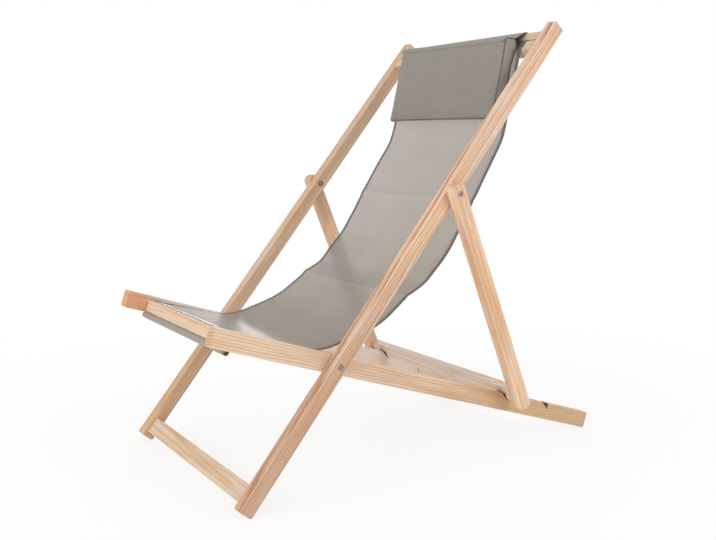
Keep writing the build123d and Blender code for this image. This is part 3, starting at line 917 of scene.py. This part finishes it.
def pillow_start(inset):
    """Boxed pad before it is blown up: a superellipse |a/A|^9 + |b/B|^9 = 1 in side view, carried
    across, with both panels crowned by (1 - s^2)(1 - t^2) and the last rings drawn in."""
    a, b = squarish(full_turn(72), 2.0 / 9.0)
    t = np.concatenate(([-1.0], np.linspace(-0.992, 0.992, 60), [1.0]))[:, None]
    draw = 1.0 - 0.020 * np.abs(t) ** 6 - np.where(np.abs(t) > 0.995, 0.02, 0.0)
    up = a * draw * (PILLOW_HEIGHT / 2.0 - inset)
    half = PILLOW_THICKNESS / 2.0
    crown = (1.0 - t ** 2) * (1.0 - a ** 2) * np.where(b > 0, FRONT_CROWN, BACK_CROWN)
    out = half + b * ((half - inset) * (0.9 + 0.1 * draw) + crown)
    return closed_sweep("head_pillow_cover", pillow_points(t * (PILLOW_WIDTH / 2.0 - inset), up, out))


def take_shape(piece):
    """Replaces a piece's mesh by what its modifiers make of it."""
    shown = piece.evaluated_get(bpy.context.evaluated_depsgraph_get())
    mesh = bpy.data.meshes.new_from_object(shown)
    piece.modifiers.clear()
    piece.data = mesh


def blow_up(piece, voxel, pressure, most, frames):
    """Fills a closed pad by cloth under air pressure; no point moves further than most."""
    remesh = piece.modifiers.new("even_mesh", "REMESH")
    remesh.mode = "VOXEL"
    remesh.voxel_size = voxel
    take_shape(piece)
    start = mesh_vectors(piece)
    cloth = piece.modifiers.new("air", "CLOTH")
    cloth.settings.quality = 5
    cloth.settings.use_pressure = True
    cloth.settings.uniform_pressure_force = pressure
    cloth.settings.effector_weights.gravity = 0.0
    cloth.point_cache.frame_start, cloth.point_cache.frame_end = 1, frames
    for number in range(1, frames + 1):
        scene.frame_set(number)
    moved = mesh_vectors(piece.evaluated_get(bpy.context.evaluated_depsgraph_get())) - start
    reach = np.linalg.norm(moved, axis=1, keepdims=True)
    piece.modifiers.clear()
    move_points(piece, start + moved * np.minimum(1.0, most / np.maximum(reach, 1e-9)))
    scene.frame_set(1)
    finer = piece.modifiers.new("finer", "SUBSURF")
    finer.levels = finer.render_levels = 1
    take_shape(piece)
    smooth(piece.data)


def panel_edge(out, inset):
    """Loop round a panel: a rectangle with rounded corners, evenly stepped, in the pillow's axes."""
    w, h = PILLOW_WIDTH / 2.0 - inset, PILLOW_HEIGHT / 2.0 - inset
    corners = ((0, -h), (w, -h), (w, h), (-w, h), (-w, -h), (0, -h))
    line = rounded_line(corners, (PANEL_CORNER,) * 4)
    run = distance_along(line)
    across, up = read_off(np.linspace(0.0, run[-1], PANEL_POINTS, endpoint=False), run, line).T
    return pillow_points(across, up, out)


def on_skin(points, skin, normals):
    """Points moved to the nearest points of a mesh and evened by a running mean round the loop."""
    nearest = np.concatenate([np.linalg.norm(skin[None] - chunk[:, None], axis=2).argmin(1)
                              for chunk in np.array_split(points, 60)])
    window = np.ones(9)
    return running_mean(skin[nearest], window, "wrap"), unit(running_mean(normals[nearest], window, "wrap"))


def sew_groove(piece, loops, depth, width):
    """Draws the skin in along seams by depth exp(-(distance / width)^2)."""
    points = mesh_vectors(piece)
    gap = np.full(len(points), 1.0)
    for chunk in np.array_split(np.concatenate(loops), 120):
        gap = np.minimum(gap, np.linalg.norm(points[:, None] - chunk[None], axis=2).min(1))
    pull = depth * np.exp(-(gap / width) ** 2)
    move_points(piece, points - mesh_vectors(piece, "normal") * pull[:, None])


def welt(name, loops, radius):
    """Thin sewn ridge: a circle carried round each loop, its middle just under the skin."""
    rings, faces = [], []
    angle = full_turn(8)[:, None]
    for centre, out in loops:
        side = unit(np.cross(np.roll(centre, -1, 0) - np.roll(centre, 1, 0), out))
        round_it = side[:, None] * np.cos(angle) + out[:, None] * np.sin(angle)
        count = len(centre) * angle.size
        faces.append(grid_faces(len(centre) + 1, angle.size, closed_across=True) % count + count * len(rings))
        rings.append(centre[:, None] + radius * round_it)
    return faced_out(make_piece(name, np.concatenate(rings), np.concatenate(faces).tolist()))


pillow = pillow_start(inset=0.0025)
blow_up(pillow, voxel=0.0045, pressure=4.0, most=0.0055, frames=20)
skin, out = mesh_vectors(pillow), mesh_vectors(pillow, "normal")
seams = [on_skin(panel_edge(depth, 0.001), skin, out) for depth in (PILLOW_THICKNESS - 0.001, 0.001)]
sew_groove(pillow, [line for line, _ in seams], depth=0.0014, width=0.0024)
pillow_seams = welt("pillow_seams", [(line - away * 0.0011, away) for line, away in seams], radius=0.0008)
cover = own_axes(mesh_vectors(pillow))
settle(pillow_seams, cover.min(0), cover.max(0))
COVER_SKIN = settle(pillow, cover.min(0), cover.max(0))
pillow_grey = woven("pillow_canvas", paint(148, 141, 133), paint(137, 131, 123),
                    turn=PILLOW_RISE - pi / 2.0)
pillow.data.materials.clear()
pillow.data.materials.append(pillow_grey)
pillow_seams.data.materials.append(thread("seam_thread", paint(70, 66, 61)))
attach(pillow, "back_frame")
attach(pillow_seams, "back_frame")
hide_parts("head_pillow")


# ---- pillow flap

FLAP_WIDTH, FLAP_MIDDLE, FLAP_THICKNESS = 0.386, 0.005, 0.0016
FLAP_STEP, FLAP_HEM = 0.0022, 0.035
# the upper head bar's top, front and rear in the back frame's axes, and the pocket's outer radius
BAR_TOP, BAR_FRONT, BAR_REAR, POCKET_OUTER = 0.812, 0.015, -0.007, 0.0065


def cover_top(x, out):
    """How high the pillow's cover reaches at x across and out from its back, before it settles:
    the highest point of the mesh in each cell of a coarse grid, read off between the cells."""
    columns, rows = np.linspace(COVER_LOW[0], COVER_HIGH[0], 45), np.linspace(0.0, 0.036, 9)
    cells = np.full((9, 45), 0.072)
    column = np.clip(np.rint((COVER_SKIN[:, 0] - columns[0]) / (columns[1] - columns[0])).astype(int), 0, 44)
    row = np.clip(np.rint(COVER_SKIN[:, 2] / rows[1]).astype(int), 0, 8)
    np.maximum.at(cells, (row, column), COVER_SKIN[:, 1])
    return read_off(x, columns, read_off(out, rows, cells).T)


def flap_line():
    """Side line of the flap's free part: over both head bars and down behind the pocket."""
    offset = 0.0003 + FLAP_THICKNESS / 2.0
    pocket = back_side(*HEAD_POCKET)
    hang_y = pocket[0] + POCKET_OUTER + offset
    front = back_side(BAR_TOP + offset, BAR_FRONT + offset)
    rear = back_side(BAR_TOP + offset, BAR_REAR - offset)
    before = pillow_points(0.0, 0.086, 0.0100)[1:]
    corners = (before, front, rear, (hang_y, pocket[1] + POCKET_OUTER), (hang_y, rear[1] - FLAP_HEM))
    return evenly(rounded_line(corners, (0.002, 0.002, 0.006)), 0.0005)


def pillow_flap_cloth():
    """Grid of x across by rows along the flap.

    The first rows come out of the pillow's front seam and lie on its top, just above its cover. The
    others follow the free line, each starting where the pillow leaves it, with the difference
    fading over the first 40 mm, and wave a little towards the hanging hem.
    """
    x = FLAP_MIDDLE + np.linspace(-FLAP_WIDTH / 2.0, FLAP_WIDTH / 2.0, 101)
    inner = np.linspace(COVER_LOW[0] + 0.003, COVER_HIGH[0] - 0.004, 101)
    out = np.linspace(0.0285, 0.0100, 10)
    within = np.clip(inner, COVER_LOW[0] + 0.014, COVER_HIGH[0] - 0.014)
    top = running_mean(cover_top(within, out), np.ones(7)).T
    sewn = 0.0010 + FLAP_THICKNESS / 2.0 - 0.0030 * ease((out - 0.0235) / 0.0050)
    lying = settled(inner, top + sewn[:, None], out[:, None])
    line = flap_line()
    run = distance_along(line)
    v = np.arange(FLAP_STEP, run[-1], FLAP_STEP)
    loose = ease((v - run[-1] + 0.040) / 0.040)
    lift = loose[:, None] * 0.0014 * (waves(x, v[:, None] * 0.4, 21, 0.11) + 0.5)
    free = read_off(v, run, line)[:, None] + read_off(v, run, facing(line))[:, None] * lift[..., None]
    fade = 1.0 - ease(v / 0.040)
    free = free + (lying[-1, :, 1:] - line[0]) * fade[:, None, None]
    across = x + (inner - x) * fade[:, None]
    points = np.concatenate((lying, np.concatenate((across[..., None], free), -1)))
    along = distance_along(points[:, 50])
    piece = cloth_sheet("pillow_flap_cloth", points, x + FLAP_WIDTH, along, FLAP_THICKNESS)
    return piece, float(along[-1])


flap, flap_length = pillow_flap_cloth()
flap.data.materials.append(woven("flap_canvas", paint(150, 144, 136), paint(139, 133, 125)))
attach(flap, "back_frame")
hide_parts("pillow_flap")


# ---- studio

FLOOR_REACH = 40.0


def white_floor():
    """Large pale floor; the camera sees it lifted towards white, with the chair's soft shadow kept."""
    points = FLOOR_REACH * np.array(((-1, -1, 0), (1, -1, 0), (1, 1, 0), (-1, 1, 0)))
    floor = make_piece("studio_floor", points, [(0, 1, 2, 3)])
    floor.location.z = -0.0005
    pale = Finish("studio_floor")
    place = pale.place()
    colour = pale.mix(pale.noise(place, (400.0, 400.0, 400.0)), paint(244, 244, 243), paint(247, 247, 246))
    matt = pale.add("ShaderNodeBsdfPrincipled", {}, {"Base Color": colour, "Roughness": 0.85,
                                                     "Specular IOR Level": 0.1})
    white = pale.add("ShaderNodeEmission", {}, {"Color": WHITE, "Strength": 1.0})
    x, y, _ = pale.parts(place)
    far = (x * x + y * y).math("SQRT").step(500.0, 1500.0)
    lifted = pale.eye() * (far * 0.2 + 0.8)
    both = pale.add("ShaderNodeMixShader", {}, {0: lifted, 1: matt, 2: white})
    floor.data.materials.append(pale.close(both))


def white_world(level):
    """Plain white world: full white to the eye, a softer level as light, through the cloth too."""
    world = bpy.data.worlds.new("studio")
    sky = Finish("studio", world)
    light = sky.add("ShaderNodeBackground", {}, {"Color": WHITE, "Strength": level})
    white = sky.add("ShaderNodeBackground", {}, {"Color": WHITE, "Strength": 1.0})
    both = sky.add("ShaderNodeMixShader", {}, {0: sky.eye(), 1: light, 2: white})
    scene.world = sky.close(both, "ShaderNodeOutputWorld")


def soft_box(name, place, aim, width, height, power, only=()):
    """Rectangular soft light at a place, turned to a point; it may light some pieces only."""
    data = bpy.data.lights.new(name, "AREA")
    data.shape = "RECTANGLE"
    data.size, data.size_y = width, height
    data.energy = power
    lamp = bpy.data.objects.new(name, data)
    scene.collection.objects.link(lamp)
    lamp.location = place
    lamp.rotation_euler = (Vector(aim) - Vector(place)).to_track_quat("-Z", "Y").to_euler()
    if only:
        lit = bpy.data.collections.new(f"lit_by_{name}")
        for piece in only:
            lit.objects.link(piece)
        lamp.light_linking.receiver_collection = lit


white_floor()
white_world(level=0.72)
soft_box("front_box", (0.6, -3.2, 1.5), (0.0, 0.0, 0.4), width=2.2, height=1.8, power=38.0)
soft_box("side_box", (3.0, 1.0, 1.5), (0.0, 0.0, 0.4), width=1.4, height=1.4, power=24.0)
soft_box("rear_box", (-2.72, 1.42, 0.50), (0.0, 0.0, 0.36), width=0.24, height=0.24, power=92.0,
         only=(sling, *bindings, sling_seams))
soft_box("fill_box", (-2.7, 1.65, 0.90), (0.0, 0.0, 0.42), width=0.9, height=0.9, power=30.0)

scene.view_settings.view_transform = "Standard"
